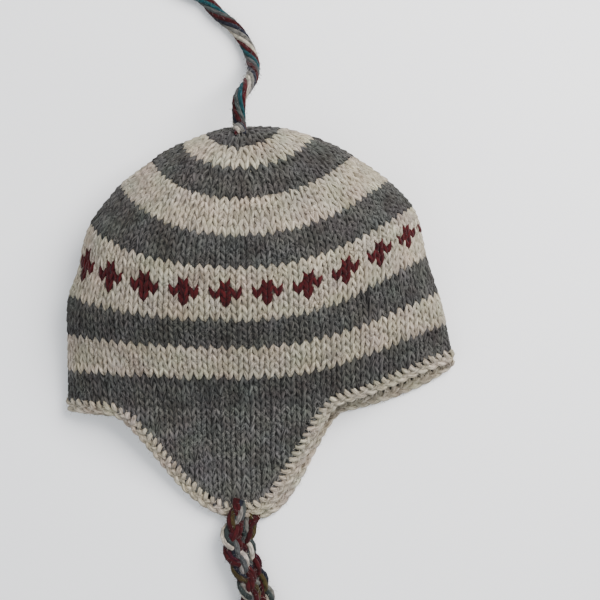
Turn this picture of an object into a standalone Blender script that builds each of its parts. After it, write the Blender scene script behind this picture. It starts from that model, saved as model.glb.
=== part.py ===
"""A knitted chullo hat that lies on its side, one ear flap on top of the other.

X runs across the hat, Y from the flaps towards the crown, and Z up from the surface that the hat lies on.
The hat is a hollow bag of knit with a puffed crown, two ear flaps, a crocheted edging round the whole rim,
a twisted cord at the crown's tip and a braided tie at each flap's tip. All lengths are in metres.
"""

import math
from collections import namedtuple

import bpy
import numpy as np

# Driving sizes of the knit
HAT_WIDTH = 0.264
BODY_LENGTH = 0.188
LOFT = 0.085
WALL = 0.004
CLEARANCE = 0.0003
CROWN_TIP = (-0.0129, 0.1317)

# Driving sizes of the ear flaps, measured from the brim and from the flap's middle
FLAP_DROP = 0.069
FLAP_LEFT = 0.091
FLAP_RIGHT = 0.066
FLAP_SHIFT = 0.0025
FLAP_LEAST_DROP = 0.003
FLAP_POWER = 1.2

# Driving sizes of the edging, the cords and their ends
EDGING_WIDTH = 0.0075
EDGING_DEPTH = 0.0048
TOP_CORD_DIAMETER = 0.0095
TIE_DIAMETER = 0.011
CORD_STEP = 2.0
TUFT_LENGTH = 0.034
TUFT_LOCKS = 6

# How the walls curve between the table's places: fullness of the puffed top, sag of the knit rows
TOP_FULLNESS = 1.15
CROWN_ARCH = 1.0
BRIM_ARCH = 1.35
SAG_POWER = 2.2
ROW_SAG = 0.80
RIGHT_SAG_GAIN = 0.60
FOLD_ROUND = 1.25

# How finely the surfaces are divided
RINGS = 24
RING_POWER = 1.2
RIGHT_POINTS = 17
LEFT_POINTS = 15
FLAP_COLUMNS = 20
FLAP_ROWS = 8
EDGING_POINTS = 128

# The knit's sections from the crown's tip to the brim. row is the share of the knit rows. The x columns are
# shares of HAT_WIDTH from the ridge line through the crown's tip, the y columns shares of BODY_LENGTH below the
# tip, and the z columns shares of LOFT. left and right are the side folds, top and base the two layers' middles.
Section = namedtuple("Section", "row left_x left_y right_x right_y fold_z top_y top_z base_y base_z")
SECTIONS = [
    Section(0.00, 0.000, 0.000, 0.000, 0.000, 0.47, 0.000, 0.47, 0.000, 0.47),
    Section(0.06, -0.048, 0.004, 0.055, -0.007, 0.46, 0.032, 0.64, -0.014, 0.31),
    Section(0.13, -0.100, 0.026, 0.125, 0.003, 0.45, 0.093, 0.78, -0.022, 0.15),
    Section(0.21, -0.173, 0.065, 0.228, 0.051, 0.42, 0.177, 0.89, 0.028, 0.03),
    Section(0.31, -0.235, 0.121, 0.305, 0.111, 0.40, 0.267, 0.96, 0.119, 0.00),
    Section(0.45, -0.331, 0.230, 0.405, 0.216, 0.35, 0.413, 1.00, 0.268, 0.00),
    Section(0.55, -0.396, 0.360, 0.450, 0.296, 0.32, 0.503, 0.97, 0.380, 0.00),
    Section(0.63, -0.417, 0.484, 0.466, 0.372, 0.28, 0.587, 0.91, 0.484, 0.00),
    Section(0.71, -0.448, 0.603, 0.483, 0.470, 0.25, 0.679, 0.82, 0.593, 0.00),
    Section(0.81, -0.453, 0.749, 0.518, 0.606, 0.20, 0.777, 0.70, 0.732, 0.00),
    Section(0.90, -0.456, 0.867, 0.536, 0.702, 0.15, 0.882, 0.56, 0.870, 0.00),
    Section(1.00, -0.457, 0.976, 0.551, 0.802, 0.12, 1.001, 0.42, 1.016, 0.00),
]

# The edging's outline across the rim, as shares of its width (away from the knit) and its depth (inwards)
EDGING_OUTLINE = [
    (0.00, 0.20), (0.25, 0.00), (0.75, 0.00), (1.00, 0.28),
    (1.00, 0.72), (0.78, 1.00), (0.35, 1.00), (0.12, 0.80),
]

# A cord end's sections: place along it as a share of TUFT_LENGTH, radius and depth of the grooves between
# locks as shares of the cord's radius
EndSection = namedtuple("EndSection", "along radius groove")
CORD_END = [
    EndSection(0.00, 0.85, 0.00),
    EndSection(0.08, 1.20, 0.05),
    EndSection(0.20, 1.35, 0.08),
    EndSection(0.32, 1.15, 0.10),
    EndSection(0.42, 0.90, 0.10),
    EndSection(0.60, 1.10, 0.22),
    EndSection(0.84, 1.15, 0.40),
    EndSection(1.00, 0.80, 0.45),
]

# The cords' own routes, as x and y from where each starts, and z above the surface
TOP_CORD_ROUTE = [
    (0.0000, 0.0000, 0.0400), (-0.0006, 0.0090, 0.0432), (0.0000, 0.0182, 0.0455), (0.0050, 0.0285, 0.0365),
    (0.0080, 0.0395, 0.0205), (0.0070, 0.0515, 0.0085), (0.0018, 0.0641, 0.0051), (-0.0060, 0.0746, 0.0050),
    (-0.0165, 0.0832, 0.0050), (-0.0267, 0.0941, 0.0055), (-0.0355, 0.0990, 0.0066), (-0.0440, 0.1035, 0.0067),
]
UPPER_TIE_ROUTE = [
    (0.0000, 0.0000, 0.0125), (-0.0036, -0.0130, 0.0142), (-0.0008, -0.0235, 0.0148), (0.0042, -0.0340, 0.0148),
    (0.0090, -0.0480, 0.0148), (0.0103, -0.0570, 0.0140), (0.0085, -0.0680, 0.0105), (0.0060, -0.0780, 0.0080),
    (0.0035, -0.0880, 0.0077), (0.0010, -0.0980, 0.0077),
]
LOWER_TIE_ROUTE = [
    (0.0000, 0.0000, 0.0057), (-0.0046, -0.0120, 0.0057), (-0.0022, -0.0220, 0.0057), (0.0020, -0.0330, 0.0057),
    (0.0072, -0.0460, 0.0057), (0.0110, -0.0560, 0.0060), (0.0155, -0.0660, 0.0072), (0.0200, -0.0760, 0.0077),
    (0.0240, -0.0860, 0.0077), (0.0280, -0.0960, 0.0077),
]
UPPER_TIE_SIDE = -0.004
LOWER_TIE_SIDE = 0.0006


def make_material(name, colour, roughness):
    """Return a Principled material of one colour, which is linear RGB."""
    material = bpy.data.materials.new(name)
    material.use_nodes = True
    shader = material.node_tree.nodes["Principled BSDF"]
    shader.inputs["Base Color"].default_value = (*colour, 1.0)
    shader.inputs["Roughness"].default_value = roughness
    shader.inputs["Metallic"].default_value = 0.0
    return material


def add_mesh(name, points, faces, material):
    """Add an object with the given points and faces, shaded smooth."""
    mesh = bpy.data.meshes.new(name)
    mesh.from_pydata([tuple(float(value) for value in point) for point in points], [], faces)
    mesh.materials.append(material)
    mesh.shade_smooth()
    mesh.validate()
    piece = bpy.data.objects.new(name, mesh)
    bpy.context.collection.objects.link(piece)
    return piece


def thicken(piece):
    """Give an outer surface the knit's thickness, inwards from it."""
    solidify = piece.modifiers.new("knit thickness", "SOLIDIFY")
    solidify.thickness = WALL
    solidify.offset = -1.0
    solidify.use_even_offset = True
    solidify.use_quality_normals = True
    solidify.use_rim = True


def curve_through(places, values, wanted):
    """Read a smooth curve, which passes through every value, at the wanted places."""
    places = np.asarray(places, float)
    values = np.asarray(values, float)
    wanted = np.clip(np.asarray(wanted, float), places[0], places[-1])
    slopes = np.gradient(values, places)
    index = np.clip(np.searchsorted(places, wanted, side="right") - 1, 0, len(places) - 2)
    span = places[index + 1] - places[index]
    t = (wanted - places[index]) / span
    start = values[index] * (2 * t**3 - 3 * t**2 + 1) + slopes[index] * span * (t**3 - 2 * t**2 + t)
    end = values[index + 1] * (3 * t**2 - 2 * t**3) + slopes[index + 1] * span * (t**3 - t**2)
    return start + end


def section_at(row):
    """Return the knit's section at a share of its rows, in metres."""
    places = [section.row for section in SECTIONS]
    values = [float(curve_through(places, [getattr(s, name) for s in SECTIONS], row)) for name in Section._fields]
    share = Section(*values)
    tip_x, tip_y = CROWN_TIP
    return Section(
        row,
        tip_x + share.left_x * HAT_WIDTH, tip_y - share.left_y * BODY_LENGTH,
        tip_x + share.right_x * HAT_WIDTH, tip_y - share.right_y * BODY_LENGTH,
        share.fold_z * LOFT,
        tip_y - share.top_y * BODY_LENGTH, share.top_z * LOFT,
        tip_y - share.base_y * BODY_LENGTH, max(share.base_z, 0.0) * LOFT,
    )


def fold_of(section, side):
    """Return how far a side fold lies from the ridge line, and its y. side is 1 on the right, -1 on the left."""
    if side > 0:
        return section.right_x - CROWN_TIP[0], section.right_y
    return CROWN_TIP[0] - section.left_x, section.left_y


def place_across(section, side, layer, across):
    """Return the outer surface's y and z at a distance from the ridge line, on the top or the base layer."""
    reach, fold_y = fold_of(section, side)
    share = np.clip(across / reach, 0.0, 1.0)
    middle_y = section.top_y if layer == "top" else section.base_y
    gain = RIGHT_SAG_GAIN * section.row if side > 0 and layer == "top" else 0.0
    y = fold_y + (middle_y - fold_y) * (1 - share**SAG_POWER) ** (ROW_SAG + gain)
    if layer == "top":
        power = CROWN_ARCH + (BRIM_ARCH - CROWN_ARCH) * section.row
        arch = np.cos(np.arcsin(share**TOP_FULLNESS)) ** power
        return y, section.fold_z + (section.top_z - section.fold_z) * arch
    rise = section.fold_z - section.base_z
    bend = min(reach, FOLD_ROUND * rise)
    into_bend = np.clip((across - (reach - bend)) / bend, 0.0, 1.0)
    return y, section.fold_z - rise * np.sqrt(1 - into_bend**2)


def quarter(section, side, layer, count):
    """Return count points, evenly spaced over the knit, from the ridge line up to, but without, the fold."""
    reach, _ = fold_of(section, side)
    across = reach * np.sin(np.linspace(0.0, math.pi / 2, 240))
    y, z = place_across(section, side, layer, across)
    line = np.column_stack([CROWN_TIP[0] + side * across, y, z])
    steps = np.linalg.norm(np.diff(line, axis=0), axis=1)
    length = np.concatenate([[0.0], np.cumsum(steps)])
    wanted = np.linspace(0.0, length[-1], count + 1)
    return np.column_stack([np.interp(wanted, length, line[:, axis]) for axis in range(3)])


def ring_at(row, right_points=RIGHT_POINTS, left_points=LEFT_POINTS):
    """Return the closed line of the knit at one row: over the top from right to left, then back below."""
    section = section_at(row)
    right_top = quarter(section, 1, "top", right_points)[::-1]
    left_top = quarter(section, -1, "top", left_points)
    left_base = quarter(section, -1, "base", left_points)[::-1]
    right_base = quarter(section, 1, "base", right_points)
    return np.vstack([right_top[:-1], left_top[:-1], left_base[:-1], right_base[:-1]])


def flap_middle(layer):
    """Return the x of a flap's middle."""
    return CROWN_TIP[0] + (0.0 if layer == "top" else FLAP_SHIFT)


def flap_drop(x, layer):
    """Return how far the flap's knit hangs below the brim at x."""
    offset = x - flap_middle(layer)
    width = np.where(offset < 0, FLAP_LEFT, FLAP_RIGHT)
    share = np.clip(np.abs(offset) / width, 0.0, 1.0)
    return FLAP_DROP * 0.5 * (1 + np.cos(math.pi * share**FLAP_POWER))


def below_brim(x, drop, layer):
    """Return the point of the outer surface that lies a distance below the brim, at x on the brim."""
    brim, above = section_at(1.0), section_at(0.95)
    side = 1 if x >= CROWN_TIP[0] else -1
    across = abs(x - CROWN_TIP[0])
    y, z = place_across(brim, side, layer, across)
    share = drop / FLAP_DROP
    if layer == "base":
        return np.array([x + FLAP_SHIFT * share**2, y - drop, z])
    y_above, z_above = place_across(above, side, layer, min(across, fold_of(above, side)[0]))
    slope = (z - z_above) / max(y_above - y, 0.001) * FLAP_DROP
    rest = 2 * EDGING_DEPTH + 2 * CLEARANCE
    height = z * (2 * share**3 - 3 * share**2 + 1) + rest * (3 * share**2 - 2 * share**3)
    height += slope * (share**3 - 2 * share**2 + share)
    return np.array([x, y - drop, max(height, rest)])


def build_crown():
    """Model the hollow bag of knit, open at the brim, with its underside flat where it lies."""
    rows = np.linspace(0.0, 1.0, RINGS + 1)[1:] ** RING_POWER
    tip = section_at(0.0)
    rings = [ring_at(row) for row in rows]
    around = len(rings[0])
    points = [np.array([CROWN_TIP[0], CROWN_TIP[1], tip.top_z])]
    for ring in rings:
        points.extend(ring)
    faces = [(0, 1 + (i + 1) % around, 1 + i) for i in range(around)]
    for ring in range(len(rings) - 1):
        start = 1 + ring * around
        for i in range(around):
            j = (i + 1) % around
            faces.append((start + i, start + j, start + around + j, start + around + i))
    wool = make_material("grey and cream wool", (0.17, 0.155, 0.135), 0.95)
    thicken(add_mesh("crown", points, faces, wool))


def build_flap(name, layer):
    """Model one ear flap, which carries the knit on below the brim and narrows to a round tip."""
    middle = flap_middle(layer)
    xs = np.linspace(middle - FLAP_LEFT, middle + FLAP_RIGHT, 400)
    inside = xs[flap_drop(xs, layer) > FLAP_LEAST_DROP]
    columns = np.linspace(inside[0], inside[-1], FLAP_COLUMNS + 1)
    points = []
    for x in columns:
        for step in np.linspace(0.0, 1.0, FLAP_ROWS + 1):
            drop = CLEARANCE + step * (float(flap_drop(x, layer)) - CLEARANCE)
            points.append(below_brim(x, drop, layer))
    faces = []
    for column in range(FLAP_COLUMNS):
        for row in range(FLAP_ROWS):
            a = column * (FLAP_ROWS + 1) + row
            b = a + FLAP_ROWS + 1
            face = (a, a + 1, b + 1, b)
            faces.append(face if layer == "top" else face[::-1])
    wool = make_material("dark grey wool " + layer, (0.075, 0.073, 0.068), 0.95)
    thicken(add_mesh(name, points, faces, wool))


def rim_path():
    """Return points, surface directions and outward normals round the whole rim, flaps included."""
    right, left = 4 * RIGHT_POINTS, 4 * LEFT_POINTS
    brim = ring_at(1.0, right, left)
    above = ring_at(0.95, right, left)
    top_count = right + left
    points, downs = [], []
    for index, (point, higher) in enumerate(zip(brim, above)):
        layer = "top" if index < top_count else "base"
        drop = float(flap_drop(point[0], layer))
        down = point - higher
        if drop > CLEARANCE:
            hem = below_brim(point[0], drop, layer)
            down_flap = hem - below_brim(point[0], max(drop - 0.002, 0.0), layer)
            weight = min(drop / FLAP_LEAST_DROP, 1.0)
            down = down / np.linalg.norm(down) * (1 - weight) + down_flap / np.linalg.norm(down_flap) * weight
            point = hem
        points.append(point)
        downs.append(down)
    points, downs = np.array(points), np.array(downs)
    closed = np.vstack([points, points[:1]])
    length = np.concatenate([[0.0], np.cumsum(np.linalg.norm(np.diff(closed, axis=0), axis=1))])
    wanted = np.linspace(0.0, length[-1], EDGING_POINTS + 1)[:-1]
    closed_downs = np.vstack([downs, downs[:1]])
    path = np.column_stack([np.interp(wanted, length, closed[:, axis]) for axis in range(3)])
    down = np.column_stack([np.interp(wanted, length, closed_downs[:, axis]) for axis in range(3)])
    along = np.roll(path, -1, axis=0) - np.roll(path, 1, axis=0)
    along /= np.linalg.norm(along, axis=1)[:, None]
    away = down - along * np.sum(down * along, axis=1)[:, None]
    away /= np.linalg.norm(away, axis=1)[:, None]
    return path, away, np.cross(along, away)


def build_edging():
    """Model the crocheted edging as one closed loop just outside the knit's rim."""
    path, away, normal = rim_path()
    points = []
    for centre, out, up in zip(path, away, normal):
        for width, depth in EDGING_OUTLINE:
            points.append(centre + out * (CLEARANCE + width * EDGING_WIDTH) - up * depth * EDGING_DEPTH)
    sides = len(EDGING_OUTLINE)
    faces = []
    for step in range(len(path)):
        following = (step + 1) % len(path)
        for side in range(sides):
            other = (side + 1) % sides
            a, b = step * sides + side, step * sides + other
            c, d = following * sides + other, following * sides + side
            faces.append((a, d, c, b))
    cream = make_material("cream wool edging", (0.42, 0.38, 0.31), 0.95)
    add_mesh("crochet_edging", points, faces, cream)


def place_route(route, start):
    """Move a cord's chosen route to where the cord starts and return it as an array."""
    line = np.array(route, float)
    line[:, 0] += start[0]
    line[:, 1] += start[1]
    return line


def even_points(route, spacing):
    """Return points about one spacing apart on a smooth curve through the route's points."""
    reach = np.concatenate([[0.0], np.cumsum(np.linalg.norm(np.diff(route, axis=0), axis=1))])
    dense = np.linspace(0.0, reach[-1], 600)
    line = np.column_stack([curve_through(reach, route[:, axis], dense) for axis in range(3)])
    length = np.concatenate([[0.0], np.cumsum(np.linalg.norm(np.diff(line, axis=0), axis=1))])
    wanted = np.linspace(0.0, length[-1], max(int(round(length[-1] / spacing)), 2) + 1)
    return np.column_stack([np.interp(wanted, length, line[:, axis]) for axis in range(3)])


def build_cord(name, route, diameter, material):
    """Model a cord as a plain round tube along its route."""
    points = even_points(route, CORD_STEP * diameter)
    curve = bpy.data.curves.new(name, "CURVE")
    curve.dimensions = "3D"
    curve.bevel_depth = diameter / 2
    curve.bevel_resolution = 2
    curve.use_fill_caps = True
    spline = curve.splines.new("POLY")
    spline.points.add(len(points) - 1)
    for target, point in zip(spline.points, points):
        target.co = (*point, 1.0)
    curve.materials.append(material)
    cord = bpy.data.objects.new(name, curve)
    bpy.context.collection.objects.link(cord)
    return points


def build_cord_end(name, line, diameter, material):
    """Model the knot at a cord's end and the locks of yarn that come out of it, as one form."""
    start = line[-1] + (line[-1] - line[-2]) * 0.01
    forward = line[-1] - line[-2]
    forward[2] = 0.0
    forward /= np.linalg.norm(forward)
    sideways = np.array([-forward[1], forward[0], 0.0])
    up = np.array([0.0, 0.0, 1.0])
    around = 4 * TUFT_LOCKS
    points = []
    for section in CORD_END:
        centre = start + forward * (CLEARANCE + section.along * TUFT_LENGTH)
        for step in range(around):
            angle = 2 * math.pi * step / around
            groove = 1 - section.groove * (0.5 - 0.5 * math.cos(TUFT_LOCKS * angle))
            radius = diameter / 2 * section.radius * groove
            points.append(centre + radius * (sideways * math.cos(angle) + up * math.sin(angle)))
    faces = [tuple(range(around))[::-1]]
    for ring in range(len(CORD_END) - 1):
        for step in range(around):
            a, b = ring * around + step, ring * around + (step + 1) % around
            faces.append((a, b, b + around, a + around))
    last = (len(CORD_END) - 1) * around
    faces.append(tuple(range(last, last + around)))
    add_mesh(name, points, faces, material)


def build_cords():
    """Model the twisted cord at the crown and the braided ties, each with its knotted end."""
    tip = section_at(0.0)
    yarns = make_material("mixed yarns", (0.12, 0.06, 0.055), 0.95)
    crown_start = (CROWN_TIP[0], CROWN_TIP[1] + 2.5 * CLEARANCE, tip.top_z)
    line = build_cord("top_cord", place_route(TOP_CORD_ROUTE, crown_start), TOP_CORD_DIAMETER, yarns)
    build_cord_end("top_cord_end", line, TOP_CORD_DIAMETER, yarns)
    ties = [
        ("tie_upper", "top", UPPER_TIE_ROUTE, UPPER_TIE_SIDE),
        ("tie_lower", "base", LOWER_TIE_ROUTE, LOWER_TIE_SIDE),
    ]
    for name, layer, route, side in ties:
        hem = below_brim(flap_middle(layer), FLAP_DROP, layer)
        start = (hem[0] + side, hem[1] - EDGING_WIDTH - 3 * CLEARANCE)
        line = build_cord(name, place_route(route, start), TIE_DIAMETER, yarns)
        build_cord_end(name + "_end", line, TIE_DIAMETER, yarns)


def main():
    for old in list(bpy.data.objects):
        bpy.data.objects.remove(old, do_unlink=True)
    build_crown()
    build_flap("ear_flap_upper", "top")
    build_flap("ear_flap_lower", "base")
    build_edging()
    build_cords()


main()
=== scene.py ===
# %% [markdown]
# # A knitted chullo hat
# This lesson dresses a plain model of a chullo, a hat of thick wool with ear flaps, that lies on its side.
# The plain model has the right shapes and sizes, but no stitches. Here every row of knit becomes a real
# yarn that loops along the surface, and the edging, the cord and the braids are laid out strand by strand.
# All lengths are in metres. X runs across the hat, Y from the flaps towards the crown, and Z up.

# %% Load the plain model
import math
from collections import namedtuple

import bpy
import numpy as np
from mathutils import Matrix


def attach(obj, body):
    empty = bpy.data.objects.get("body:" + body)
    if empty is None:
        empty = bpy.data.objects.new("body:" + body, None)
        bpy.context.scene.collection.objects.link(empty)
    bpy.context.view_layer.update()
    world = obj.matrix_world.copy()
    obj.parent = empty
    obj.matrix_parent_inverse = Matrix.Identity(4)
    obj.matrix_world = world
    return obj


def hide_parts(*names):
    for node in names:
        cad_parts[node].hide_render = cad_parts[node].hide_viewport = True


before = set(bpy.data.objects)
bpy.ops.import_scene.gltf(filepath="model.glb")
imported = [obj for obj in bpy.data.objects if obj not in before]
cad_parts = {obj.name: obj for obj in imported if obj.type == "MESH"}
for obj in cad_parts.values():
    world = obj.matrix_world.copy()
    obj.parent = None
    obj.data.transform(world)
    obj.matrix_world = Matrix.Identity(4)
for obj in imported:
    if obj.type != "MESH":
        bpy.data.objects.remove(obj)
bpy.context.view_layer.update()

print("plain model:", sorted(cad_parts))

# %% [markdown]
# ## The camera
# The photograph was taken from straight above, so the camera looks down and needs no turn. A camera that is
# close makes the puffed crown look larger than the brim. The height and the field of view were found by
# drawing the plain model's outline over the hat. A longer lens from further away would flatten that.

# %% Camera
CAMERA_PLACE = (0.0272, 0.01705, 0.85)
HALF_VIEW = 0.21
SENSOR_WIDTH = 36.0

camera = bpy.data.objects.new("camera", bpy.data.cameras.new("camera"))
camera.location = CAMERA_PLACE
camera.data.sensor_width = SENSOR_WIDTH
camera.data.lens = SENSOR_WIDTH / 2 * CAMERA_PLACE[2] / HALF_VIEW
camera.data.clip_start, camera.data.clip_end = 0.01, 20.0
bpy.context.collection.objects.link(camera)
bpy.context.scene.camera = camera
print("camera lens, mm:", round(camera.data.lens, 2))

# %% [markdown]
# ## A bench for node trees
# Materials and Geometry Nodes are both trees of nodes. Laid by hand they sprawl, so two small classes help.
# A Wire is a node's output that can be calculated with: every sign adds its Math node. A Bench adds any
# other node in one call: its settings are set first, and then the values or wires that go into it. The
# steps that come back in many trees have names of their own on the bench.

# %% Wires and benches
class Wire:
    """A node's output that can be calculated with."""

    def __init__(self, bench, socket):
        self.bench, self.socket = bench, socket

    def other(self, name):
        """Return another output of the same node."""
        return Wire(self.bench, open_socket(self.socket.node.outputs, name))

    def math(self, operation, *values):
        return self.bench.node("ShaderNodeMath", dict(enumerate(values)), operation=operation)

    def __add__(self, value):
        return self.math("ADD", self, value)

    def __sub__(self, value):
        return self.math("SUBTRACT", self, value)

    def __rsub__(self, value):
        return self.math("SUBTRACT", value, self)

    def __mul__(self, value):
        return self.math("MULTIPLY", self, value)

    def __truediv__(self, value):
        return self.math("DIVIDE", self, value)

    __radd__ = __add__
    __rmul__ = __mul__

    def sine(self):
        return self.math("SINE", self)

    def cosine(self):
        return self.math("COSINE", self)


def open_socket(sockets, name):
    """Return the socket of that name, or that place in the list, which the node's settings leave in use."""
    if isinstance(name, int):
        return sockets[name]
    return next(socket for socket in sockets if socket.name == name and socket.enabled)


class Bench:
    """Builds one node tree."""

    def __init__(self, tree):
        self.tree = tree

    def node(self, kind, values=None, **settings):
        """Add a node, set its settings, fill its inputs and return its first output."""
        node = self.tree.nodes.new(kind)
        for name, setting in settings.items():
            setattr(node, name, setting)
        self.fill(node, values or {})
        outputs = [socket for socket in node.outputs if socket.enabled]
        return Wire(self, outputs[0]) if outputs else None

    def fill(self, node, values):
        """Give a node's inputs, by name or by place, their values or wires."""
        for name, value in values.items():
            socket = open_socket(node.inputs, name)
            if isinstance(value, Wire):
                self.tree.links.new(value.socket, socket)
            else:
                socket.default_value = value

    def xyz(self, x, y, z):
        """Join three numbers into a vector."""
        return self.node("ShaderNodeCombineXYZ", {0: x, 1: y, 2: z})

    def split(self, vector):
        """Split a vector into its three numbers."""
        x = self.node("ShaderNodeSeparateXYZ", {0: vector})
        return x, x.other("Y"), x.other("Z")

    def noise(self, vector, scale, detail, roughness=0.5):
        """Add soft noise."""
        return self.node("ShaderNodeTexNoise", {
            "Vector": vector, "Scale": scale, "Detail": detail, "Roughness": roughness})


# %% [markdown]
# Most geometry trees here start from a mesh of bare lines, with one line for each yarn. Numbers that the
# lines' points carry say where the yarn goes. Named inputs hold the sizes. After a tree has run once, its
# result is kept as a plain mesh and the modifier goes, so that nothing changes later.

# %% Steps of a geometry tree
VECTOR = "FLOAT_VECTOR"


class GeometryBench(Bench):
    """Builds one geometry tree."""

    def here(self):
        """Return each point's own place."""
        return self.node("GeometryNodeInputPosition")

    def named(self, name, kind="FLOAT"):
        """Read what the points carry under a name."""
        return self.node("GeometryNodeInputNamedAttribute", {"Name": name}, data_type=kind)

    def store(self, geometry, name, value, kind="FLOAT"):
        """Make the points carry a value under a name."""
        return self.node("GeometryNodeStoreNamedAttribute", {
            "Geometry": geometry, "Name": name, "Value": value}, data_type=kind, domain="POINT")

    def dice(self, least, most, seed):
        """Draw a random number for each point or copy."""
        values = {"Min": least, "Max": most, "Seed": seed}
        return self.node("FunctionNodeRandomValue", values, data_type="FLOAT")

    def scaled(self, vector, size):
        return self.node("ShaderNodeVectorMath", {0: vector, "Scale": size}, operation="SCALE")

    def added(self, first, second):
        return self.node("ShaderNodeVectorMath", {0: first, 1: second}, operation="ADD")

    def move(self, geometry, place, lowest=None):
        """Move every point to its place, and no lower than the lowest height that is given."""
        if lowest is not None:
            x, y, z = self.split(place)
            place = self.xyz(x, y, z.math("MAXIMUM", z, lowest))
        return self.node("GeometryNodeSetPosition", {"Geometry": geometry, "Position": place})

    def copies(self, points, shape, turned, size):
        """Set real copies of a shape on points."""
        placed = self.node("GeometryNodeInstanceOnPoints", {
            "Points": points, "Instance": shape, "Rotation": turned, "Scale": size})
        return self.node("GeometryNodeRealizeInstances", {"Geometry": placed})

    def ring(self, points):
        return self.node("GeometryNodeCurvePrimitiveCircle", {"Resolution": points, "Radius": 1.0})

    def tube(self, curve, sides, radius):
        """Sweep a ring along a curve. Each point of the tube carries its place in the ring."""
        ring = self.store(self.ring(sides), "section", self.here(), VECTOR)
        return self.node("GeometryNodeCurveToMesh", {
            "Curve": curve, "Profile Curve": ring, "Scale": radius, "Fill Caps": True})

    def end(self, mesh, material):
        """End the tree as a real, smooth mesh with its material."""
        mesh = self.node("GeometryNodeSetShadeSmooth", {"Geometry": mesh})
        mesh = self.node("GeometryNodeRealizeInstances", {"Geometry": mesh})
        mesh = self.node("GeometryNodeSetMaterial", {"Geometry": mesh, "Material": material})
        self.node("NodeGroupOutput", {"Mesh": mesh})
        return self.tree


def geometry_tree(name, inputs):
    """Start a geometry tree, and return its bench and its inputs as wires.

    inputs holds the default of each named input, or in words the kind of an input that has none.
    """
    tree = bpy.data.node_groups.new(name, "GeometryNodeTree")
    tree.interface.new_socket("Lines", in_out="INPUT", socket_type="NodeSocketGeometry")
    for label, value in inputs.items():
        kind = value if isinstance(value, str) else {int: "Int", float: "Float"}[type(value)]
        socket = tree.interface.new_socket(label, in_out="INPUT", socket_type="NodeSocket" + kind)
        if kind != value:
            socket.default_value = value
    tree.interface.new_socket("Mesh", in_out="OUTPUT", socket_type="NodeSocketGeometry")
    bench = GeometryBench(tree)
    entry = tree.nodes.new("NodeGroupInput")
    return bench, {socket.name: Wire(bench, socket) for socket in entry.outputs if socket.name}


# %% Lines and plain meshes
def add_object(name, data):
    """Make an object and put it in the scene."""
    made = bpy.data.objects.new(name, data)
    bpy.context.collection.objects.link(made)
    return made


def run_tree(name, lines, tree, values):
    """Run a tree on a mesh of lines and keep the result as a plain mesh object."""
    piece = add_object(name, lines)
    modifier = piece.modifiers.new("tree", "NODES")
    modifier.node_group = tree
    inputs = {item.name: item.identifier for item in tree.interface.items_tree if item.in_out == "INPUT"}
    for label, value in values.items():
        modifier[inputs[label]] = value
    graph = bpy.context.evaluated_depsgraph_get()
    mesh = bpy.data.meshes.new_from_object(
        piece.evaluated_get(graph), preserve_all_data_layers=True, depsgraph=graph
    )
    piece.modifiers.clear()
    piece.data = mesh
    mesh.name = name
    bpy.data.meshes.remove(lines)
    triangles = sum(len(face.vertices) - 2 for face in mesh.polygons)
    print(f"{name}: {triangles} triangles")
    return piece


def carry(mesh, label, values):
    """Make a mesh's points carry a number, a vector or a colour each, under a name."""
    values = np.asarray(values, float)
    width = 1 if values.ndim == 1 else values.shape[1]
    kind, field = {1: ("FLOAT", "value"), 3: ("FLOAT_VECTOR", "vector"), 4: ("FLOAT_COLOR", "color")}[width]
    mesh.attributes.new(label, kind, "POINT").data.foreach_set(field, values.ravel())


def line_mesh(name, lines, numbers):
    """Make a mesh of open lines. numbers holds, by name, one value or vector for every point."""
    mesh = bpy.data.meshes.new(name)
    points, edges = [], []
    for line in lines:
        start = len(points)
        points.extend(tuple(map(float, point)) for point in line)
        edges.extend((i, i + 1) for i in range(start, len(points) - 1))
    mesh.from_pydata(points, edges, [])
    for label, values in numbers.items():
        carry(mesh, label, values)
    return mesh


def rest_on_hat(piece, node):
    """Make a piece ride on the hat and stand for a node of the plain model."""
    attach(piece, "root")
    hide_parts(node)


# %% [markdown]
# ## The shape of the hat
# The knit is one bag. A table of sections, from the crown's tip to the brim, says how wide it is, how far
# its two layers stand apart and how the rows sag. The same table shaped the plain model, and it is repeated
# here because the yarns have to follow exactly that surface. The x columns are shares of HAT_WIDTH from the
# ridge line, the y columns shares of BODY_LENGTH below the tip, and the z columns shares of LOFT.

# %% Sizes and sections
HAT_WIDTH = 0.264
BODY_LENGTH = 0.188
LOFT = 0.085
CLEARANCE = 0.0003
CROWN_TIP = (-0.0129, 0.1317)
FLAP_DROP = 0.069
FLAP_LEFT = 0.091
FLAP_RIGHT = 0.066
FLAP_SHIFT = 0.0025
FLAP_LEAST_DROP = 0.003
FLAP_POWER = 1.2
EDGING_WIDTH = 0.0075
EDGING_DEPTH = 0.0048
TOP_FULLNESS = 1.15
CROWN_ARCH, BRIM_ARCH = 1.0, 1.35
SAG_POWER = 2.2
ROW_SAG = 0.80
RIGHT_SAG_GAIN = 0.60
FOLD_ROUND = 1.25
QUARTER_POINTS = 240

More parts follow.
